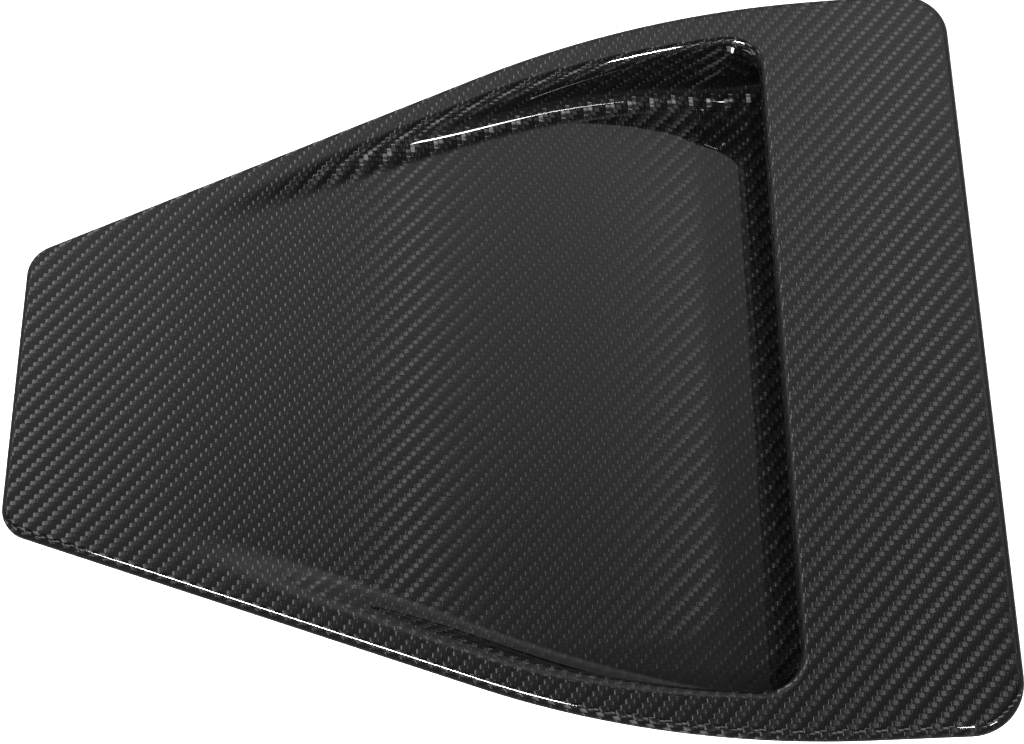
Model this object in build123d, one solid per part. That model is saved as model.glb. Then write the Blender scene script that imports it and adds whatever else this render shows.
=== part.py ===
from build123d import *
import math
import os

os.makedirs("parts", exist_ok=True)

# Bonnet vent, moulded in one skin. X runs from the narrow end to the wide end, Y across, Z up.
# All lengths are in millimetres and all angles in degrees. In this file x is measured from the
# narrow end, and z = 0 is the underside of the flange. The export moves the origin to the seat.

# Outline of the flange
length = 395.0
narrow_width = 126.0  # across the narrow end, before its corners are rounded
wide_width = 327.0  # across the wide end
knee_share = 0.6663  # share of the length where the straight sides, run on, reach the full width
flare_radius = 405.0  # arc that brings each side parallel to the centre line
narrow_corner = 14.0
wide_corner = 21.0

# Laminate and the turned-down edge of the flange
skin = 2.0
rim_radius = 3.5
rim_depth = 5.0  # top of the flange to the trimmed edge

# Side walls, measured in from the edge of the flange
wall_margin = 17.7  # flange edge to the upright part of the wall
lip_radius = 7.2  # flange into wall along the recess
end_lip_radius = 3.4  # flange into wall at the mouth, and round the end lip
lip_taper = 90.0  # length over which the lip tightens ahead of the mouth
foot_radius = 10.0  # wall into floor
shallow_flat = 1.5  # straight between lip and foot where the recess is shallow

# Ramp floor
ramp_start = 60.0  # narrow end to the point where the floor leaves the flange
ramp_angle = 18.0  # steepest fall of the floor
level_radius = 125.0  # arc that levels the floor at the mouth
level_past_lip = 6.7  # end lip to the point where the floor is level

# End lip and mouth
end_flange = 80.0  # end lip to the wide end
lip_corner = 15.0  # plan radius where the end lip meets the side walls
lip_drop = 7.5  # top of the flange to the lower edge of the end lip
mouth_cover = 24.0  # floor and walls run on under the flange by this much
mouth_splay = 0.08  # sideways opening of the covered walls, per unit of length

# Working allowances
graze_lift = 0.02  # lifts the wall's arc so that it crosses the flange's top face
overrun = 6.0  # cutting shapes pass the faces they open by this much

seat_setback = 40.0  # wide end to the seat's reference point

knee = knee_share * length
flare = math.atan2((wide_width - narrow_width) / 2, knee)
flare_end = knee + flare_radius * math.tan(flare / 2)
flare_begin = flare_end - flare_radius * math.sin(flare)
lip_x = length - end_flange
level_x = lip_x + level_past_lip
fall = math.radians(ramp_angle)
fall_end = level_x - level_radius * math.sin(fall)
ramp_radius = (fall_end - ramp_start) / math.sin(fall)
floor_depth = (ramp_radius + level_radius) * (1 - math.cos(fall))
mouth_x = lip_x + mouth_cover
corner_x = lip_x - lip_corner
lift = skin + graze_lift


def outline():
    """Plan of the flange: a trapezium whose flared sides turn parallel, with rounded corners."""
    half = [(0, narrow_width / 2), (knee, wide_width / 2), (length, wide_width / 2)]
    plan = make_face(Polyline(*half, *[(x, -y) for x, y in reversed(half)], close=True))
    for x, radius in ((0, narrow_corner), (knee, flare_radius), (length, wide_corner)):
        corners = plan.vertices().filter_by(lambda v: abs(v.X - x) < 0.01)
        plan = fillet(corners, radius)
    return plan


def half_width(x):
    """Half the flange's width at x, away from its rounded corners."""
    if x >= flare_end:
        return wide_width / 2
    if x <= flare_begin:
        return narrow_width / 2 + x * math.tan(flare)
    return wide_width / 2 - flare_radius + math.sqrt(flare_radius**2 - (flare_end - x) ** 2)


def depth(x):
    """Fall of the floor below the flange's top face at x."""
    if x >= level_x:
        return floor_depth
    if x >= fall_end:
        return floor_depth - level_radius + math.sqrt(level_radius**2 - (level_x - x) ** 2)
    return ramp_radius - math.sqrt(ramp_radius**2 - (x - ramp_start) ** 2)


def lip(x):
    """Lip rounding at x. It tightens evenly from the recess to the end lip."""
    share = min(max((corner_x - x) / lip_taper, 0), 1)
    return end_lip_radius + share * (lip_radius - end_lip_radius)


def wall(x):
    """Lean, lip radius, straight and foot radius of a side wall at x.

    The wall keeps its place in plan, so where the floor is shallow it leans over and both of its
    roundings open out.
    """
    run = lip(x) + foot_radius
    fall_here = depth(x)
    if fall_here >= run + shallow_flat:
        return math.pi / 2, lip(x), fall_here - run, foot_radius
    lean = 2 * math.atan(fall_here / (run + shallow_flat))
    spread = (run - shallow_flat * math.cos(lean)) / math.sin(lean) / run
    return lean, lip(x) * spread, shallow_flat, foot_radius * spread


def recess_section(x, drop, top, rise=0):
    """Section across the recess at x, closed off at height top.

    drop 0 gives the outer face of the laminate; drop equal to the skin gives its underside. rise
    lifts the lip clear of the flange, so that a covered wall runs straight up to it.
    """
    lean, lip_r, straight, foot_r = wall(x)
    lip_r = lip_r - drop
    straight = straight + rise
    foot_r = foot_r + drop
    c, s = math.cos(lean), math.sin(lean)
    ch, sh = math.cos(lean / 2), math.sin(lean / 2)
    splay = max(x - corner_x, 0) * mouth_splay
    y0 = half_width(x) - wall_margin + lip(x) + splay
    z0 = lift - drop + rise
    y1, z1 = y0 - lip_r * s, z0 - lip_r * (1 - c)
    y2, z2 = y1 - straight * c, z1 - straight * s
    y3, z3 = y2 - foot_r * s, z2 - foot_r * (1 - c)
    lip_mid = (y0 - lip_r * sh, z0 - lip_r * (1 - ch))
    foot_mid = (y3 + foot_r * sh, z3 + foot_r * (1 - ch))
    edges = [
        ThreePointArc((-y0, z0), (-lip_mid[0], lip_mid[1]), (-y1, z1)),
        Line((-y1, z1), (-y2, z2)),
        ThreePointArc((-y2, z2), (-foot_mid[0], foot_mid[1]), (-y3, z3)),
        Line((-y3, z3), (y3, z3)),
        ThreePointArc((y3, z3), foot_mid, (y2, z2)),
        Line((y2, z2), (y1, z1)),
        ThreePointArc((y1, z1), lip_mid, (y0, z0)),
        Polyline((y0, z0), (y0, top), (-y0, top), (-y0, z0)),
    ]
    return Plane.YZ.offset(x) * make_face(edges)


def spaced(start, stop, count):
    """Evenly spaced stations from start to stop, both ends included."""
    return [start + (stop - start) * i / (count - 1) for i in range(count)]


def slab(x0, x1, z0, z1):
    """Block across the full width between two stations and two heights."""
    centre = Pos((x0 + x1) / 2, 0, (z0 + z1) / 2)
    return centre * Box(x1 - x0, wide_width + 2 * overrun, z1 - z0)


# Flange: a plate with a rounded edge turned down all round
plan = outline()
below = skin - rim_depth
plate = Pos(0, 0, below) * extrude(plan, rim_depth)
plate = fillet(plate.edges().group_by(Axis.Z)[-1], rim_radius)
hollow = Pos(0, 0, below) * extrude(offset(plan, -skin), rim_depth - skin)
hollow = fillet(hollow.edges().group_by(Axis.Z)[-1], rim_radius - skin)
flange = plate - hollow

# Recess: the skin of the ramp and its walls, then the air above it
first = ramp_start + math.sqrt(ramp_radius * graze_lift)
open_run = spaced(first, fall_end, 10) + spaced(fall_end, corner_x, 4)[1:]
covered_run = spaced(corner_x, level_x, 4) + spaced(level_x, mouth_x + overrun, 3)[1:]
under_run = open_run + covered_run[1:]
trough = loft([recess_section(x, skin, skin / 2) for x in under_run], ruled=True)
trough = trough - slab(mouth_x, mouth_x + 2 * overrun, -2 * floor_depth, skin)
open_air = loft([recess_section(x, 0, skin + overrun) for x in open_run])
covered_air = loft([recess_section(x, 0, 2 * overrun, end_lip_radius) for x in covered_run])
covered_air = covered_air - slab(corner_x - overrun, mouth_x + 2 * overrun, 0, 3 * overrun)
shell = flange + trough - open_air - covered_air

# End lip: a band turned down round the end of the opening, with the opening cut and rounded
side = half_width(corner_x) - wall_margin
back = corner_x - overrun
opening = make_face(Polyline((back, side), (lip_x, side), (lip_x, -side), (back, -side), close=True))
opening = fillet(opening.vertices().group_by(Axis.X)[-1], lip_corner)
lip_base = skin - lip_drop
band = extrude(offset(opening, skin) - opening, lip_drop - skin / 2)
band = Pos(0, 0, lip_base) * band - slab(back - overrun, corner_x + skin, lip_base - overrun, skin)
block = slab(corner_x, lip_x + 2 * overrun, lip_base - overrun, lift)
cutter = Pos(0, 0, lip_base - overrun) * extrude(opening, lip_drop - skin + overrun + lift)
frame = block - cutter
inner = frame.edges().group_by(Axis.Z)[-1]
inner = inner.filter_by(lambda e: corner_x + 0.01 < e.center().X < lip_x + 0.01)
frame = fillet(inner.filter_by(lambda e: abs(e.center().Y) < side), end_lip_radius)
shell = shell + band - (block - frame)

shell = Pos(seat_setback - length, 0, 0) * shell
export_step(shell, "parts/vent_shell.step")
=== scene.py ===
import logging
import math
from dataclasses import dataclass, field
from enum import Enum
from typing import Any

import bpy
import numpy as np
from mathutils import Matrix, Vector
from mathutils.geometry import delaunay_2d_cdt


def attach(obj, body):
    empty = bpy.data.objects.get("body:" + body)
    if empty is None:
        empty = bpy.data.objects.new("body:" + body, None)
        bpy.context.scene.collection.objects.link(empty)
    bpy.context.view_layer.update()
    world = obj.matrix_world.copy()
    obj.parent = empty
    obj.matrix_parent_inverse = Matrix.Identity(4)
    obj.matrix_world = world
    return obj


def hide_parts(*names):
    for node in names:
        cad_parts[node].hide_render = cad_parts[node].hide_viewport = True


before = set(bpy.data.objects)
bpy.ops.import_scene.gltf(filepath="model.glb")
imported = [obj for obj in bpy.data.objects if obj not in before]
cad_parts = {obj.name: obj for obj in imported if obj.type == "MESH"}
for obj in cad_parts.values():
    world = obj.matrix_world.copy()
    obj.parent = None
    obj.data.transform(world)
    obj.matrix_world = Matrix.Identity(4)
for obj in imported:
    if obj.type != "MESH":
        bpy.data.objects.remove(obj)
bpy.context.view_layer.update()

# Bonnet vent: one moulding of woven carbon fibre under a clear gloss lacquer. The shape is worked
# in millimetres, with x from the narrow end, y across and z = 0 on the underside of the flange.
MM = 0.001
UP = np.array((0.0, 0.0, 1.0))
MIRROR = np.array((1.0, -1.0))  # takes a plan point to the other side of the centre line
LOG = logging.getLogger("bonnet_vent")
FILL_INSIDE = 1  # kind of triangulation: only what lies inside the outer ring
SAME_PLACE = 1e-6  # mm under which two plan points are one


class Ply(Enum):
    """Side of the laminate that a face belongs to."""

    FACE = "lay_face"
    BACK = "lay_back"
    TRIM = "lay_trim"


def linear(hex_colour: str) -> tuple[float, float, float, float]:
    """Turn an sRGB hex colour into linear RGBA.

    Args:
        hex_colour: six hex digits.

    Returns:
        Linear red, green, blue and an alpha of one.
    """
    values = [int(hex_colour[i : i + 2], 16) / 255 for i in (0, 2, 4)]
    red, green, blue = (
        v / 12.92 if v <= 0.04045 else ((v + 0.055) / 1.055) ** 2.4 for v in values
    )
    return red, green, blue, 1.0


def add_node(
    tree: bpy.types.NodeTree,
    kind: str,
    settings: dict[str, Any] | None = None,
    inputs: dict[str | int, Any] | None = None,
) -> bpy.types.Node:
    """Add one node to a tree, with its settings, socket values and links.

    Args:
        tree: the node tree.
        kind: type name of the node.
        settings: properties of the node by name.
        inputs: values or output sockets by input name or index.

    Returns:
        The new node.
    """
    node = tree.nodes.new(kind)
    for name, value in (settings or {}).items():
        setattr(node, name, value)
    for socket, value in (inputs or {}).items():
        if isinstance(value, bpy.types.NodeSocket):
            tree.links.new(value, node.inputs[socket])
        else:
            node.inputs[socket].default_value = value
    return node


def unit(vectors: np.ndarray) -> np.ndarray:
    """Vectors of length one along the last axis."""
    return vectors / np.linalg.norm(vectors, axis=-1, keepdims=True)


@dataclass(frozen=True)
class TwillCarbon:
    """Woven carbon fibre, two-by-two twill, laid in a mould and lacquered.

    The tows are flat bundles of fine graphite fibres. Each float is dark until a light lies square
    to its fibres, and then shows as a grey lozenge, or as a tick where only its bent end is square.
    The resin between the tows is black, and the lacquer over the cloth is smooth and mirrors the
    room.
    """

    name: str = "lacquered_twill_carbon"
    graphite: str = "313132"
    resin: str = "030303"
    pitch: float = 2.0  # mm between tows, as in a common 3K cloth
    arch: float = 0.30  # tilt of the fibres at a float's end, where it dives under the next tow
    shine: float = 0.02  # spread of a reflection along the fibres, which lie nearly parallel
    bend_power: float = 3.0  # how late along a float its bend begins; odd, so both ends go down
    groove_power: float = 8.0  # how narrow the grooves are; even, so both sides have one
    resin_roughness: float = 0.5
    lacquer_roughness: float = 0.012
    lacquer_ior: float = 1.5

    def sums(self) -> list[tuple]:
        """Arithmetic of the weave: name, operation and values of each step.

        Returns:
            Steps in order. A value that is a name stands for the result of that step.
        """
        return [
            ("along", "DIVIDE", "u", self.pitch),
            ("across", "DIVIDE", "v", self.pitch),
            ("column", "FLOOR", "along"),
            ("row", "FLOOR", "across"),
            # A lengthwise tow lies on top for two cells in four, one step further on in each row.
            ("warp_step", "SUBTRACT", "along", "row"),
            ("warp_run", "FLOORED_MODULO", "warp_step", 4.0),
            ("weft_offset", "SUBTRACT", "across", "column"),
            ("weft_step", "SUBTRACT", "weft_offset", 1.0),
            ("weft_run", "FLOORED_MODULO", "weft_step", 4.0),
            ("is_warp", "LESS_THAN", "warp_run", 2.0),
            ("is_weft", "SUBTRACT", 1.0, "is_warp"),
            # Place on the float that shows, from -1 to 1 along it and across it.
            ("run", "MULTIPLY", "weft_run", "is_weft"),
            ("run_on_top", "MULTIPLY_ADD", "warp_run", "is_warp", "run"),
            ("end", "SUBTRACT", "run_on_top", 1.0),
            ("warp_cell", "FRACT", "across"),
            ("weft_cell", "FRACT", "along"),
            ("cell", "MULTIPLY", "weft_cell", "is_weft"),
            ("cell_on_top", "MULTIPLY_ADD", "warp_cell", "is_warp", "cell"),
            ("edge", "MULTIPLY_ADD", "cell_on_top", 2.0, -1.0),
            # The middle of a float is nearly flat and its ends bend down.
            ("bend", "POWER", "end", self.bend_power),
            ("dive", "MULTIPLY", "bend", -self.arch),
            # Resin fills the groove on either side of a tow.
            ("groove", "POWER", "edge", self.groove_power),
        ]

    def build(self) -> bpy.types.Material:
        """Make the material.

        Returns:
            The material, which reads the UV map named weave, in millimetres.
        """
        material = bpy.data.materials.new(self.name)
        material.use_nodes = True
        tree = material.node_tree
        tree.nodes.clear()
        uv = add_node(tree, "ShaderNodeUVMap", {"uv_map": "weave"}).outputs[0]
        axes = add_node(tree, "ShaderNodeSeparateXYZ", inputs={0: uv})
        found: dict[str | float, Any] = {"u": axes.outputs[0], "v": axes.outputs[1]}
        for name, operation, *values in self.sums():
            sockets = {i: found.get(value, value) for i, value in enumerate(values)}
            step = add_node(tree, "ShaderNodeMath", {"operation": operation}, sockets)
            found[name] = step.outputs[0]
        warp = add_node(
            tree, "ShaderNodeTangent", {"direction_type": "UV_MAP", "uv_map": "weave"}
        ).outputs[0]
        normal = add_node(tree, "ShaderNodeNewGeometry").outputs["Normal"]
        weft = add_node(
            tree, "ShaderNodeVectorMath", {"operation": "CROSS_PRODUCT"}, {0: normal, 1: warp}
        ).outputs[0]
        level = add_node(
            tree, "ShaderNodeMix", {"data_type": "VECTOR"}, {0: found["is_warp"], 4: weft, 5: warp}
        ).outputs[1]
        fibre = add_node(
            tree,
            "ShaderNodeVectorMath",
            {"operation": "MULTIPLY_ADD"},
            {0: normal, 1: found["dive"], 2: level},
        ).outputs[0]
        tow = add_node(
            tree,
            "ShaderNodeMix",
            {"data_type": "RGBA"},
            {0: found["groove"], 6: linear(self.graphite), 7: linear(self.resin)},
        ).outputs[2]
        fibres = add_node(
            tree,
            "ShaderNodeBsdfHair",
            {"component": "Reflection"},
            {"Color": tow, "RoughnessU": self.shine, "RoughnessV": 1.0, "Tangent": fibre},
        )
        lacquer = add_node(
            tree,
            "ShaderNodeBsdfPrincipled",
            inputs={
                "Base Color": linear(self.resin),
                "Roughness": self.resin_roughness,
                "Specular IOR Level": 0.0,
                "Coat Weight": 1.0,
                "Coat Roughness": self.lacquer_roughness,
                "Coat IOR": self.lacquer_ior,
            },
        )
        both = add_node(
            tree, "ShaderNodeAddShader", inputs={0: lacquer.outputs[0], 1: fibres.outputs[0]}
        )
        add_node(tree, "ShaderNodeOutputMaterial", inputs={"Surface": both.outputs[0]})
        return material


@dataclass(frozen=True)
class PaperSweep:
    """Seamless matt white paper, as a product table is covered with."""

    name: str = "matt_white_paper"
    colour: str = "f4f4f4"
    roughness: float = 0.9
    glow: float = 1.0  # light that comes through the paper from below

    def build(self) -> bpy.types.Material:
        """Make the paper's material."""
        material = bpy.data.materials.new(self.name)
        material.use_nodes = True
        shader = material.node_tree.nodes["Principled BSDF"]
        shader.inputs["Base Color"].default_value = linear(self.colour)
        shader.inputs["Roughness"].default_value = self.roughness
        shader.inputs["Emission Color"].default_value = linear(self.colour)
        shader.inputs["Emission Strength"].default_value = self.glow
        return material


@dataclass
class Sheet:
    """Outer skin of the moulding: vertices, their lay normals, faces and weave coordinates."""

    points: list[np.ndarray] = field(default_factory=list)
    normals: list[np.ndarray] = field(default_factory=list)
    faces: list[tuple[int, ...]] = field(default_factory=list)
    weave: list[np.ndarray] = field(default_factory=list)

    def face(self, corners: list[int], weave: np.ndarray) -> None:
        """Add one face, turned so that it points the way its lay normals do.

        Args:
            corners: vertex numbers in order.
            weave: weave coordinates of those corners.
        """
        a, b, c = (self.points[i] for i in (corners[0], corners[1], corners[-1]))
        if np.dot(np.cross(b - a, c - a), sum(self.normals[i] for i in corners)) < 0:
            corners, weave = corners[::-1], weave[::-1]
        self.faces.append(tuple(corners))
        self.weave.append(weave)

    def add(self, points: np.ndarray, normals: np.ndarray) -> np.ndarray:
        """Add vertices.

        Args:
            points: positions with the coordinates last.
            normals: lay normals in the same shape.

        Returns:
            Vertex numbers in the shape of the points.
        """
        first = len(self.points)
        self.points.extend(points.reshape(-1, 3))
        self.normals.extend(normals.reshape(-1, 3))
        return np.arange(first, len(self.points)).reshape(points.shape[:-1])

    def grid(self, points: np.ndarray, normals: np.ndarray, weave: np.ndarray) -> None:
        """Add a grid of four-sided faces.

        Args:
            points: positions, rows by columns by three.
            normals: lay normals in the same shape.
            weave: weave coordinates, rows by columns by two.
        """
        index = self.add(points, normals)
        for i in range(points.shape[0] - 1):
            for j in range(points.shape[1] - 1):
                ring = [(i, j), (i, j + 1), (i + 1, j + 1), (i + 1, j)]
                self.face([int(index[k]) for k in ring], np.array([weave[k] for k in ring]))

    def level(self, outer: np.ndarray, hole: np.ndarray, height: float) -> None:
        """Add a level area between an outer ring and a hole.

        Args:
            outer: plan points of the outer ring.
            hole: plan points of the hole's ring.
            height: level of the area.
        """
        plan = np.vstack((outer, hole))
        split = len(outer)
        edges = [(i, (i + 1) % split) for i in range(split)]
        edges += [(split + i, split + (i + 1) % len(hole)) for i in range(len(hole))]
        flat = [Vector(p) for p in plan]
        corners, _, faces, _, _, _ = delaunay_2d_cdt(flat, edges, [], FILL_INSIDE, SAME_PLACE)
        places = np.array([(p.x, p.y, height) for p in corners])
        index = self.add(places, np.tile(UP, (len(places), 1)))
        for ring in faces:
            middle = places[list(ring), :2].mean(axis=0)
            if not inside(middle, hole):
                self.face([int(index[k]) for k in ring], places[list(ring), :2])


def inside(point: np.ndarray, ring: np.ndarray) -> bool:
    """Tell whether a plan point lies inside a closed ring.

    Args:
        point: plan position.
        ring: plan points of the ring in order.

    Returns:
        True inside, by counting crossings.
    """
    a, b = ring, np.roll(ring, -1, axis=0)
    spans = (a[:, 1] > point[1]) != (b[:, 1] > point[1])
    a, b = a[spans], b[spans]
    cross = a[:, 0] + (point[1] - a[:, 1]) / (b[:, 1] - a[:, 1]) * (b[:, 0] - a[:, 0])
    return bool(np.count_nonzero(cross > point[0]) % 2)


@dataclass
class LaminateTree:
    """Geometry Nodes tree that gives an open skin the thickness of its laminate."""

    name: str = "laminate"
    weld: float = 0.002 * MM

    def build(self, material: bpy.types.Material) -> bpy.types.NodeTree:
        """Make the tree, with an input named Skin for the thickness.

        Args:
            material: finish of the whole laminate.

        Returns:
            The node tree.
        """
        tree = bpy.data.node_groups.new(self.name, "GeometryNodeTree")
        sockets = tree.interface
        sockets.new_socket("Geometry", in_out="INPUT", socket_type="NodeSocketGeometry")
        sockets.new_socket("Skin", in_out="INPUT", socket_type="NodeSocketFloat")
        sockets.new_socket("Geometry", in_out="OUTPUT", socket_type="NodeSocketGeometry")
        start = add_node(tree, "NodeGroupInput")
        skin = add_node(
            tree,
            "GeometryNodeMergeByDistance",
            inputs={"Geometry": start.outputs["Geometry"], "Distance": self.weld},
        ).outputs[0]
        lay = add_node(
            tree,
            "GeometryNodeInputNamedAttribute",
            {"data_type": "FLOAT_VECTOR"},
            {"Name": Ply.FACE.value},
        ).outputs[0]
        inward = add_node(
            tree, "ShaderNodeMath", {"operation": "MULTIPLY"}, {0: start.outputs["Skin"], 1: -1.0}
        ).outputs[0]
        step = add_node(
            tree, "ShaderNodeVectorMath", {"operation": "SCALE"}, {0: lay, "Scale": inward}
        ).outputs[0]
        sides = add_node(tree, "GeometryNodeInputMeshEdgeNeighbors").outputs[0]
        open_edge = add_node(
            tree,
            "FunctionNodeCompare",
            {"data_type": "INT", "operation": "EQUAL"},
            {2: sides, 3: 1},
        ).outputs[0]
        trim = add_node(
            tree,
            "GeometryNodeExtrudeMesh",
            {"mode": "EDGES"},
            {"Mesh": skin, "Selection": open_edge, "Offset": step, "Offset Scale": 1.0},
        )
        trimmed = add_node(
            tree,
            "GeometryNodeStoreNamedAttribute",
            {"data_type": "BOOLEAN", "domain": "FACE"},
            {
                "Geometry": trim.outputs["Mesh"],
                "Name": Ply.TRIM.value,
                "Value": trim.outputs["Side"],
            },
        ).outputs[0]
        moved = add_node(
            tree, "GeometryNodeSetPosition", inputs={"Geometry": skin, "Offset": step}
        ).outputs[0]
        turned = add_node(tree, "GeometryNodeFlipFaces", inputs={"Mesh": moved}).outputs[0]
        back = add_node(
            tree,
            "GeometryNodeStoreNamedAttribute",
            {"data_type": "BOOLEAN", "domain": "FACE"},
            {"Geometry": turned, "Name": Ply.BACK.value, "Value": True},
        ).outputs[0]
        both = add_node(tree, "GeometryNodeJoinGeometry", inputs={0: trimmed})
        tree.links.new(back, both.inputs[0])
        closed = add_node(
            tree,
            "GeometryNodeMergeByDistance",
            inputs={"Geometry": both.outputs[0], "Distance": self.weld},
        ).outputs[0]
        real = add_node(tree, "GeometryNodeRealizeInstances", inputs={0: closed}).outputs[0]
        dressed = add_node(
            tree, "GeometryNodeSetMaterial", inputs={"Geometry": real, "Material": material}
        ).outputs[0]
        add_node(tree, "NodeGroupOutput", inputs={0: dressed})
        return tree


@dataclass
class VentMoulding:
    """The whole vent: flange, turned-down rim, side walls, ramp floor, end lip and mouth.

    All sizes are in millimetres and angles in degrees.
    """

    finish: TwillCarbon = field(default_factory=TwillCarbon)
    name: str = "vent_moulding"
    length: float = 395.0
    narrow_width: float = 126.0
    wide_width: float = 327.0
    knee_share: float = 0.6663  # share of the length where the straight sides reach full width
    flare_radius: float = 405.0  # brings each side parallel to the centre line
    narrow_corner: float = 14.0
    wide_corner: float = 21.0
    skin: float = 2.0
    rim_radius: float = 3.5
    rim_depth: float = 5.0  # top of the flange to the trimmed edge
    wall_margin: float = 17.7  # flange edge to the upright part of the wall
    lip_radius: float = 7.2  # flange into wall along the recess
    end_lip_radius: float = 3.4  # flange into wall at the mouth, and round the end lip
    lip_taper: float = 90.0  # length over which the lip tightens
    foot_radius: float = 10.0  # wall into floor
    shallow_flat: float = 1.5  # straight between lip and foot where the recess is shallow
    least_fall: float = 1e-5  # stands in for no depth where the ramp starts
    ramp_start: float = 60.0
    ramp_angle: float = 18.0  # steepest fall of the floor
    level_radius: float = 125.0  # levels the floor at the mouth
    level_past_lip: float = 6.7
    end_flange: float = 80.0  # end lip to the wide end
    lip_corner: float = 15.0  # plan radius where the end lip meets the side walls
    lip_drop: float = 7.5  # top of the flange to the lower edge of the end lip
    mouth_cover: float = 24.0  # floor and walls run on under the flange by this much
    mouth_splay: float = 0.08  # sideways opening of the covered walls, per unit of length
    seat_setback: float = 40.0  # wide end to the shared frame's origin
    wall_sink: float = 1.0  # covered walls end this far inside the flange
    cloth_turn: float = 2.0  # degrees that the cloth lies off the centre line
    row_step: float = 2.5  # spacing of the rows along the recess
    covered_rows: int = 17
    lip_steps: int = 12
    wall_steps: int = 6
    foot_steps: int = 14
    floor_steps: int = 10
    narrow_corner_steps: int = 16
    flare_steps: int = 40
    wide_corner_steps: int = 20
    lip_corner_steps: int = 14

    def __post_init__(self) -> None:
        """Work out the stations that the sizes give."""
        self.knee = self.knee_share * self.length
        self.flare = math.atan2((self.wide_width - self.narrow_width) / 2, self.knee)
        self.flare_end = self.knee + self.flare_radius * math.tan(self.flare / 2)
        self.flare_begin = self.flare_end - self.flare_radius * math.sin(self.flare)
        self.lip_x = self.length - self.end_flange
        self.corner_x = self.lip_x - self.lip_corner
        self.mouth_x = self.lip_x + self.mouth_cover
        self.level_x = self.lip_x + self.level_past_lip
        fall = math.radians(self.ramp_angle)
        self.fall_end = self.level_x - self.level_radius * math.sin(fall)
        self.ramp_radius = (self.fall_end - self.ramp_start) / math.sin(fall)
        self.floor_depth = (self.ramp_radius + self.level_radius) * (1 - math.cos(fall))
        self.opening_side = self.half_width(self.corner_x) - self.wall_margin

    def half_width(self, x: float) -> float:
        """Half the flange's width at x, away from its rounded corners."""
        if x >= self.flare_end:
            return self.wide_width / 2
        if x <= self.flare_begin:
            return self.narrow_width / 2 + x * math.tan(self.flare)
        rise = math.sqrt(self.flare_radius**2 - (self.flare_end - x) ** 2)
        return self.wide_width / 2 - self.flare_radius + rise

    def depth(self, x: float) -> float:
        """Fall of the floor below the flange's top face at x."""
        if x >= self.level_x:
            return self.floor_depth
        if x >= self.fall_end:
            rise = math.sqrt(self.level_radius**2 - (self.level_x - x) ** 2)
            return self.floor_depth - self.level_radius + rise
        gone = max(x - self.ramp_start, 0)
        return self.ramp_radius - math.sqrt(self.ramp_radius**2 - gone**2)

    def ramp_length(self, x: float) -> float:
        """Length along the floor from the narrow end to x, as the cloth runs."""
        if x <= self.fall_end:
            share = max(x - self.ramp_start, 0) / self.ramp_radius
            return min(x, self.ramp_start) + self.ramp_radius * math.asin(share)
        fall = math.radians(self.ramp_angle)
        run = self.ramp_start + self.ramp_radius * fall
        turned = math.asin(max(self.level_x - x, 0) / self.level_radius)
        return run + self.level_radius * (fall - turned) + max(x - self.level_x, 0)

    def lip(self, x: float) -> float:
        """Lip rounding at x, which tightens evenly towards the end lip."""
        share = min(max((self.corner_x - x) / self.lip_taper, 0), 1)
        return self.end_lip_radius + share * (self.lip_radius - self.end_lip_radius)

    def wall(self, x: float) -> tuple[float, float, float, float]:
        """Lean, lip radius, straight and foot radius of a side wall at x."""
        run = self.lip(x) + self.foot_radius
        fall = max(self.depth(x), self.least_fall)
        if fall >= run + self.shallow_flat:
            return math.pi / 2, self.lip(x), fall - run, self.foot_radius
        lean = 2 * math.atan(fall / (run + self.shallow_flat))
        spread = (run - self.shallow_flat * math.cos(lean)) / math.sin(lean) / run
        return lean, self.lip(x) * spread, self.shallow_flat, self.foot_radius * spread

    def section(self, x: float, top: float | None = None) -> tuple[np.ndarray, np.ndarray]:
        """Section across the recess at x, from the far side to the near side.

        Args:
            x: station.
            top: height at which a covered wall ends, or None for an open section with its lip.

        Returns:
            Points, and the cloth's run across the section at each of them.
        """
        lean, lip_r, straight, foot_r = self.wall(x)
        c, s = math.cos(lean), math.sin(lean)
        y = self.half_width(x) - self.wall_margin + self.lip(x)
        y += max(x - self.corner_x, 0) * self.mouth_splay
        z = self.skin
        side: list[tuple[float, float, float]] = []
        if top is None:
            for i in range(self.lip_steps):
                a = lean * i / self.lip_steps
                side.append((y - lip_r * math.sin(a), z - lip_r * (1 - math.cos(a)), lip_r * a))
        y, z, run = y - lip_r * s, z - lip_r * (1 - c), lip_r * lean
        first = self.break_share() if top is None else 0.0
        if top is not None:
            straight, z, run = straight + top - z, top, run + z - top
        shares = [first + (1 - first) * i / self.wall_steps for i in range(self.wall_steps)]
        for share in ([0.0] if top is None else []) + shares:
            down = straight * share
            side.append((y - down * c, z - down * s, run + down))
        y, z, run = y - straight * c, z - straight * s, run + straight
        for i in range(self.foot_steps):
            a = lean * (1 - i / self.foot_steps)
            drop = foot_r * (math.cos(a) - c)
            side.append((y - foot_r * (s - math.sin(a)), z - drop, run + foot_r * (lean - a)))
        y, z, run = y - foot_r * s, z - foot_r * (1 - c), run + foot_r * lean
        half = [(x, py, pz) for py, pz, _ in side]
        cloth = [y + run - pr for _, _, pr in side]
        flat = [(x, y * (1 - 2 * i / self.floor_steps), z) for i in range(self.floor_steps + 1)]
        points = half + flat + [(px, -py, pz) for px, py, pz in reversed(half)]
        across = cloth + [p[1] for p in flat] + [-v for v in reversed(cloth)]
        return np.array(points), np.array(across)

    def break_share(self) -> float:
        """Share of the straight, at the end of the recess, that the end lip's band covers."""
        _, lip_r, straight, _ = self.wall(self.corner_x)
        return (self.lip_drop - lip_r) / straight

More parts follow.
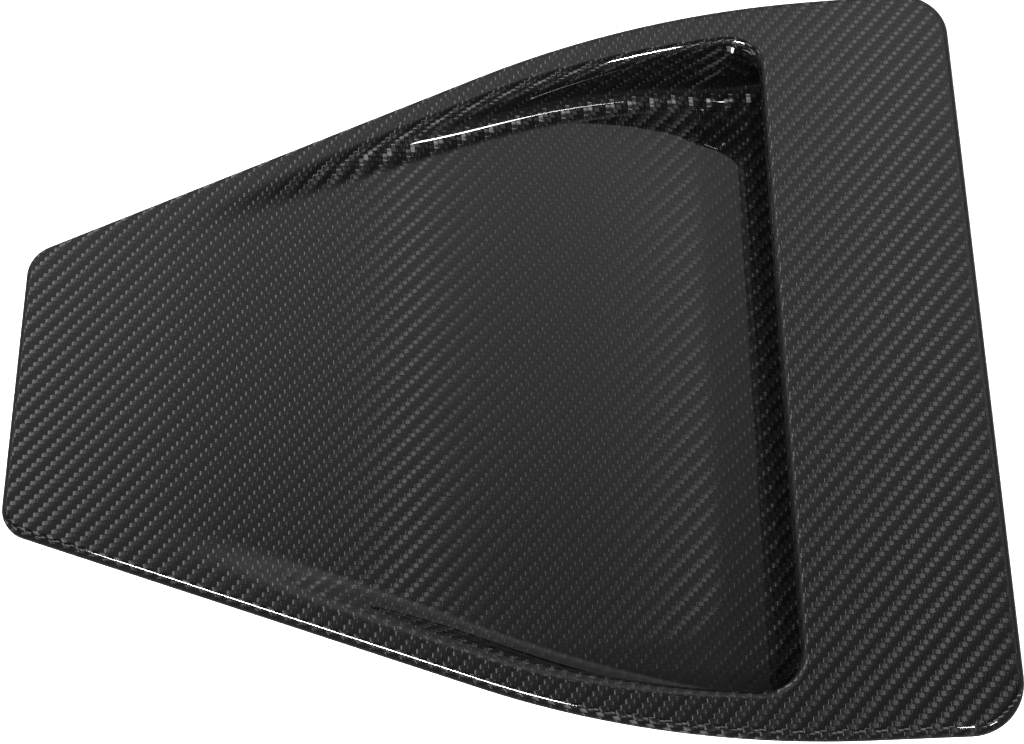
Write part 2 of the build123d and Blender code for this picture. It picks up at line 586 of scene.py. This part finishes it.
    def run(self, stations: np.ndarray, tops: list[float | None]) -> tuple[np.ndarray, ...]:
        """Sections at several stations.

        Args:
            stations: values of x in order.
            tops: for each station the height of a covered wall's end, or None.

        Returns:
            Points, lay normals and weave coordinates, as grids.
        """
        pairs = [self.section(x, top) for x, top in zip(stations, tops)]
        points = np.array([p for p, _ in pairs])
        across = np.array([a for _, a in pairs])
        lengths = np.array([self.ramp_length(x) for x in stations])
        weave = np.stack((np.tile(lengths[:, None], (1, across.shape[1])), across), axis=-1)
        along_x = np.gradient(points, axis=0, edge_order=2)
        along_y = np.gradient(points, axis=1, edge_order=2)
        normals = unit(np.cross(along_y, along_x))
        return points, normals * np.sign(normals[:, normals.shape[1] // 2, None, 2:]), weave

    def arc(
        self, centre: tuple[float, float], radius: float, start: float, stop: float, steps: int
    ) -> tuple[np.ndarray, np.ndarray]:
        """Divide an arc in plan.

        Args:
            centre: plan position of the arc's centre.
            radius: radius of the arc.
            start: angle of the first point in degrees.
            stop: angle of the last point in degrees.
            steps: divisions of the arc.

        Returns:
            Plan points and outward directions.
        """
        angles = np.radians(np.linspace(start, stop, steps + 1))
        out = np.stack((np.cos(angles), np.sin(angles)), axis=1)
        return np.array(centre) + radius * out, out

    def outline(self) -> tuple[np.ndarray, np.ndarray]:
        """Half of the flange's outline and its outward directions.

        Returns:
            Plan points from the narrow end's middle to the wide end's middle, and directions.
        """
        flare = math.degrees(self.flare)
        r = self.narrow_corner
        narrow = (r, self.narrow_width / 2 + r * math.tan(self.flare) - r / math.cos(self.flare))
        bend = (self.flare_end, self.wide_width / 2 - self.flare_radius)
        w = self.wide_corner
        wide = (self.length - w, self.wide_width / 2 - w)
        arcs = [
            self.arc(narrow, r, 180, 90 + flare, self.narrow_corner_steps),
            self.arc(bend, self.flare_radius, 90 + flare, 90, self.flare_steps),
            self.arc(wide, w, 90, 0, self.wide_corner_steps),
        ]
        points = np.vstack([[(0.0, 0.0)]] + [p for p, _ in arcs] + [[(self.length, 0.0)]])
        out = np.vstack([[(-1.0, 0.0)]] + [o for _, o in arcs] + [[(1.0, 0.0)]])
        return points, out

    def turn_down(
        self, path: np.ndarray, out: np.ndarray, radius: float, drop: float, steps: int
    ) -> tuple[np.ndarray, ...]:
        """Edge that rounds over from the flange's top and then goes straight down.

        Args:
            path: plan points of the upright part.
            out: plan directions from the flange towards the edge.
            radius: rounding.
            drop: fall from the flange's top to the lower edge.
            steps: divisions of the rounding.

        Returns:
            Points, lay normals and weave coordinates, as grids with the flange's edge first.
        """
        rows, lays, cloth = [], [], []
        start = path - radius * out
        for i in range(steps + 2):
            a = math.pi / 2 * min(i / steps, 1)
            z = self.skin - (radius * (1 - math.cos(a)) if i <= steps else drop)
            reach = radius * a + (drop - radius if i > steps else 0)
            plan = start + radius * math.sin(a) * out
            rows.append(np.column_stack((plan, np.full(len(plan), z))))
            lays.append(np.column_stack((out * math.sin(a), np.full(len(plan), math.cos(a)))))
            cloth.append(start + reach * out)
        return np.array(rows), unit(np.array(lays)), np.array(cloth)

    def skin_sheet(self) -> Sheet:
        """Build the outer skin: recess, end lip, rim, flange, then the covered floor and walls."""
        sheet = Sheet()
        rows = int((self.corner_x - self.ramp_start) / self.row_step) + 1
        stations = np.linspace(self.ramp_start, self.corner_x, rows)
        recess, lays, cloth = self.run(stations, [None] * rows)
        lays[0], lays[:, 0], lays[:, -1] = UP, UP, UP
        sheet.grid(recess, lays, cloth)

        corner = (self.corner_x, self.opening_side - self.lip_corner)
        far, far_out = self.arc(corner, self.lip_corner, 90, 0, self.lip_corner_steps)
        path = np.vstack((far, far[::-1] * MIRROR))
        away = np.vstack((far_out, far_out[::-1] * MIRROR))
        lip = self.turn_down(path, -away, self.end_lip_radius, self.lip_drop, self.lip_steps)
        sheet.grid(*lip)

        half, half_out = self.outline()
        ring = np.vstack((half, half[-2:0:-1] * MIRROR, half[:1]))
        ring_out = np.vstack((half_out, half_out[-2:0:-1] * MIRROR, half_out[:1]))
        rim = self.turn_down(ring, ring_out, self.rim_radius, self.rim_depth, self.lip_steps)
        sheet.grid(*rim)

        hole = np.vstack(
            (recess[0, ::-1, :2], recess[1:, 0, :2], lip[0][0, 1:-1, :2], recess[:0:-1, -1, :2])
        )
        sheet.level(rim[0][0, :-1, :2], hole, self.skin)

        covered = np.linspace(self.corner_x, self.mouth_x, self.covered_rows)
        tops: list[float | None] = [self.wall_sink] * len(covered)
        tops[0] = self.skin - self.lip_drop
        sheet.grid(*self.run(covered, tops))
        return sheet

    def place(self, points: np.ndarray) -> np.ndarray:
        """Move points from the moulding's own frame to the shared one, in metres."""
        return (points + np.array((self.seat_setback - self.length, 0, 0))) * MM

    def build(self) -> bpy.types.Object:
        """Build the moulding and stand it in for the CAD solid.

        Returns:
            The finished piece.
        """
        sheet = self.skin_sheet()
        mesh = bpy.data.meshes.new(self.name + "_skin")
        mesh.from_pydata(self.place(np.array(sheet.points)), [], sheet.faces)
        layer = mesh.uv_layers.new(name="weave")
        turn = math.radians(self.cloth_turn)
        spin = np.array(((math.cos(turn), math.sin(turn)), (-math.sin(turn), math.cos(turn))))
        layer.data.foreach_set("uv", (np.vstack(sheet.weave) @ spin.T).ravel())
        lay = mesh.attributes.new(Ply.FACE.value, "FLOAT_VECTOR", "POINT")
        lay.data.foreach_set("vector", np.array(sheet.normals).ravel())
        blank = bpy.data.objects.new(self.name + "_skin", mesh)
        bpy.context.collection.objects.link(blank)

        tree = LaminateTree().build(self.finish.build())
        modifier = blank.modifiers.new("laminate", "NODES")
        modifier.node_group = tree
        inputs = {s.name: s.identifier for s in tree.interface.items_tree if s.in_out == "INPUT"}
        modifier[inputs["Skin"]] = self.skin * MM
        graph = bpy.context.evaluated_depsgraph_get()
        solid = bpy.data.meshes.new_from_object(blank.evaluated_get(graph), depsgraph=graph)
        solid.name = self.name
        bpy.data.objects.remove(blank)
        self.smooth(solid)
        piece = bpy.data.objects.new(self.name, solid)
        bpy.context.collection.objects.link(piece)
        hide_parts("vent_shell")
        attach(piece, "root")
        return piece

    def smooth(self, mesh: bpy.types.Mesh) -> None:
        """Give the mesh the lay normals of its plies, with the trimmed edges left crisp.

        Args:
            mesh: closed laminate with the attributes of its plies.
        """
        lays = np.empty(len(mesh.vertices) * 3, dtype=np.float32)
        mesh.attributes[Ply.FACE.value].data.foreach_get("vector", lays)
        lays = unit(lays.reshape(-1, 3))
        flags = {}
        for ply in (Ply.BACK, Ply.TRIM):
            values = np.zeros(len(mesh.polygons), dtype=bool)
            mesh.attributes[ply.value].data.foreach_get("value", values)
            flags[ply] = values
        mesh.shade_smooth()
        split = np.empty((len(mesh.loops), 3), dtype=np.float32)
        for polygon in mesh.polygons:
            sign = -1.0 if flags[Ply.BACK][polygon.index] else 1.0
            for loop in polygon.loop_indices:
                if flags[Ply.TRIM][polygon.index]:
                    split[loop] = polygon.normal
                else:
                    split[loop] = sign * lays[mesh.loops[loop].vertex_index]
        mesh.normals_split_custom_set(split)
        for ply in Ply:
            mesh.attributes.remove(mesh.attributes[ply.value])


@dataclass(frozen=True)
class StripLight:
    """One strip light, placed and sized as the vent sees it, in degrees."""

    name: str
    azimuth: float  # bearing from the front towards the right
    elevation: float
    spread: float
    tall: float
    level: float  # radiance, where white paper is one

    def aim(self) -> Vector:
        """Direction from the vent to the light."""
        bearing, rise = math.radians(self.azimuth), math.radians(self.elevation)
        level = math.cos(rise)
        return Vector((math.sin(bearing) * level, -math.cos(bearing) * level, math.sin(rise)))


@dataclass
class Studio:
    """White table, a room of plain grey walls, three strip lights and the camera, in metres."""

    paper: PaperSweep = field(default_factory=PaperSweep)
    table_height: float = -0.0418
    table_reach: float = 20.0
    camera_place: tuple[float, float, float] = (-0.0595, -0.3830, 0.7590)
    camera_right: tuple[float, float, float] = (0.99293, -0.00717, -0.11848)
    camera_up: tuple[float, float, float] = (0.05878, 0.89693, 0.43825)
    camera_back: tuple[float, float, float] = (0.10313, -0.44212, 0.89101)
    lens: float = 74.387
    sensor: float = 36.0
    clip_start: float = 0.01
    # Grey of the room by elevation in degrees, behind the vent and in front of it.
    wall_greys: tuple[tuple[float, float], ...] = (
        (0, 0.35),
        (25, 0.4),
        (38, 0.5),
        (48, 0.68),
        (55, 0.78),
        (63, 0.48),
        (72, 0.15),
        (80, 0.05),
        (90, 0.02),
    )
    front_greys: tuple[tuple[float, float], ...] = ((0, 0.17), (30, 0.17), (48, 0.03), (90, 0.03))
    wall_begins: float = -0.1  # backward part of a direction where the front gives way
    wall_full: float = 0.25
    end_grey: float = 0.25
    end_begins: float = 0.75  # sideways part of a direction where the room's end walls begin
    end_full: float = 0.92
    # The left and centre lights show the lengthwise tows, the right one the foot of the far wall.
    strips: tuple[StripLight, ...] = (
        StripLight("left_strip", -48.0, 55.0, 19.0, 4.0, 235.0),
        StripLight("centre_strip", 15.5, 60.0, 2.5, 4.0, 445.0),
        StripLight("right_strip", 39.5, 35.0, 9.0, 4.0, 98.0),
    )
    strip_distance: float = 12.0
    strip_target: tuple[float, float, float] = (-0.15, 0.0, 0.0)

    def table(self) -> bpy.types.Object:
        """Lay the white table under the vent."""
        r, z = self.table_reach, self.table_height
        mesh = bpy.data.meshes.new("table")
        mesh.from_pydata([(-r, -r, z), (r, -r, z), (r, r, z), (-r, r, z)], [], [(0, 1, 2, 3)])
        mesh.materials.append(self.paper.build())
        table = bpy.data.objects.new("table", mesh)
        table.visible_glossy = False
        bpy.context.collection.objects.link(table)
        return table

    def camera(self) -> bpy.types.Object:
        """Set the camera where the photograph was taken from."""
        data = bpy.data.cameras.new("camera")
        data.sensor_width = self.sensor
        data.sensor_fit = "HORIZONTAL"
        data.lens = self.lens
        data.clip_start = self.clip_start
        camera = bpy.data.objects.new("camera", data)
        turn = Matrix((self.camera_right, self.camera_up, self.camera_back)).transposed()
        camera.matrix_world = Matrix.Translation(self.camera_place) @ turn.to_4x4()
        bpy.context.collection.objects.link(camera)
        bpy.context.scene.camera = camera
        return camera

    def room(self) -> bpy.types.World:
        """Make the room: a pale wall behind that fades upwards, a dark front and grey ends."""
        world = bpy.data.worlds.new("studio_room")
        world.use_nodes = True
        tree = world.node_tree
        tree.nodes.clear()
        place = add_node(tree, "ShaderNodeTexCoord").outputs["Generated"]
        # The wall is long, so its grey depends on the climb over the horizon, not on the bearing.
        climb = add_node(
            tree, "ShaderNodeVectorMath", {"operation": "MULTIPLY"}, {0: place, 1: (0.0, 1.0, 1.0)}
        ).outputs[0]
        climb = add_node(
            tree, "ShaderNodeVectorMath", {"operation": "NORMALIZE"}, {0: climb}
        ).outputs[0]
        axes = add_node(tree, "ShaderNodeSeparateXYZ", inputs={0: climb})
        greys = []
        for stops in (self.wall_greys, self.front_greys):
            ramp = add_node(tree, "ShaderNodeValToRGB", inputs={0: axes.outputs[2]})
            elements = ramp.color_ramp.elements
            while len(elements) < len(stops):
                elements.new(0.5)
            for element, (elevation, grey) in zip(elements, stops):
                element.position = math.sin(math.radians(elevation))
                element.color = (grey, grey, grey, 1.0)
            greys.append(ramp.outputs[0])
        facing = add_node(
            tree,
            "ShaderNodeMapRange",
            {"interpolation_type": "SMOOTHSTEP"},
            {
                "Value": axes.outputs[1],
                "From Min": self.wall_begins,
                "From Max": self.wall_full,
            },
        ).outputs[0]
        grey = add_node(
            tree, "ShaderNodeMix", {"data_type": "RGBA"}, {0: facing, 6: greys[1], 7: greys[0]}
        ).outputs[2]
        sideways = add_node(tree, "ShaderNodeSeparateXYZ", inputs={0: place}).outputs[0]
        sideways = add_node(
            tree, "ShaderNodeMath", {"operation": "ABSOLUTE"}, {0: sideways}
        ).outputs[0]
        at_end = add_node(
            tree,
            "ShaderNodeMapRange",
            {"interpolation_type": "SMOOTHSTEP"},
            {"Value": sideways, "From Min": self.end_begins, "From Max": self.end_full},
        ).outputs[0]
        end = (self.end_grey, self.end_grey, self.end_grey, 1.0)
        grey = add_node(
            tree, "ShaderNodeMix", {"data_type": "RGBA"}, {0: at_end, 6: grey, 7: end}
        ).outputs[2]
        light = add_node(tree, "ShaderNodeBackground", inputs={"Color": grey, "Strength": 1.0})
        add_node(tree, "ShaderNodeOutputWorld", inputs={"Surface": light.outputs[0]})
        bpy.context.scene.world = world
        return world

    def hang(self, strip: StripLight) -> bpy.types.Object:
        """Set up one strip light that faces the vent.

        Args:
            strip: place, size and level of the light.

        Returns:
            The light.
        """
        data = bpy.data.lights.new(strip.name, "AREA")
        data.shape = "RECTANGLE"
        data.size = 2 * self.strip_distance * math.tan(math.radians(strip.spread) / 2)
        data.size_y = 2 * self.strip_distance * math.tan(math.radians(strip.tall) / 2)
        data.energy = strip.level * math.pi * data.size * data.size_y
        light = bpy.data.objects.new(strip.name, data)
        turn = strip.aim().to_track_quat("Z", "Y").to_matrix().to_4x4()
        place = strip.aim() * self.strip_distance + Vector(self.strip_target)
        light.matrix_world = Matrix.Translation(place) @ turn
        bpy.context.collection.objects.link(light)
        return light

    def build(self) -> None:
        """Set up the camera, the table, the room and the lights."""
        self.camera()
        self.table()
        self.room()
        for strip in self.strips:
            self.hang(strip)
        bpy.context.scene.view_settings.view_transform = "Standard"


def main() -> None:
    """Build the studio and the vent, and report each piece."""
    logging.basicConfig(level=logging.INFO, format="%(name)s: %(message)s")
    Studio().build()
    piece = VentMoulding().build()
    LOG.info("%s: %d faces", piece.name, len(piece.data.polygons))


if __name__ == "__main__":
    main()
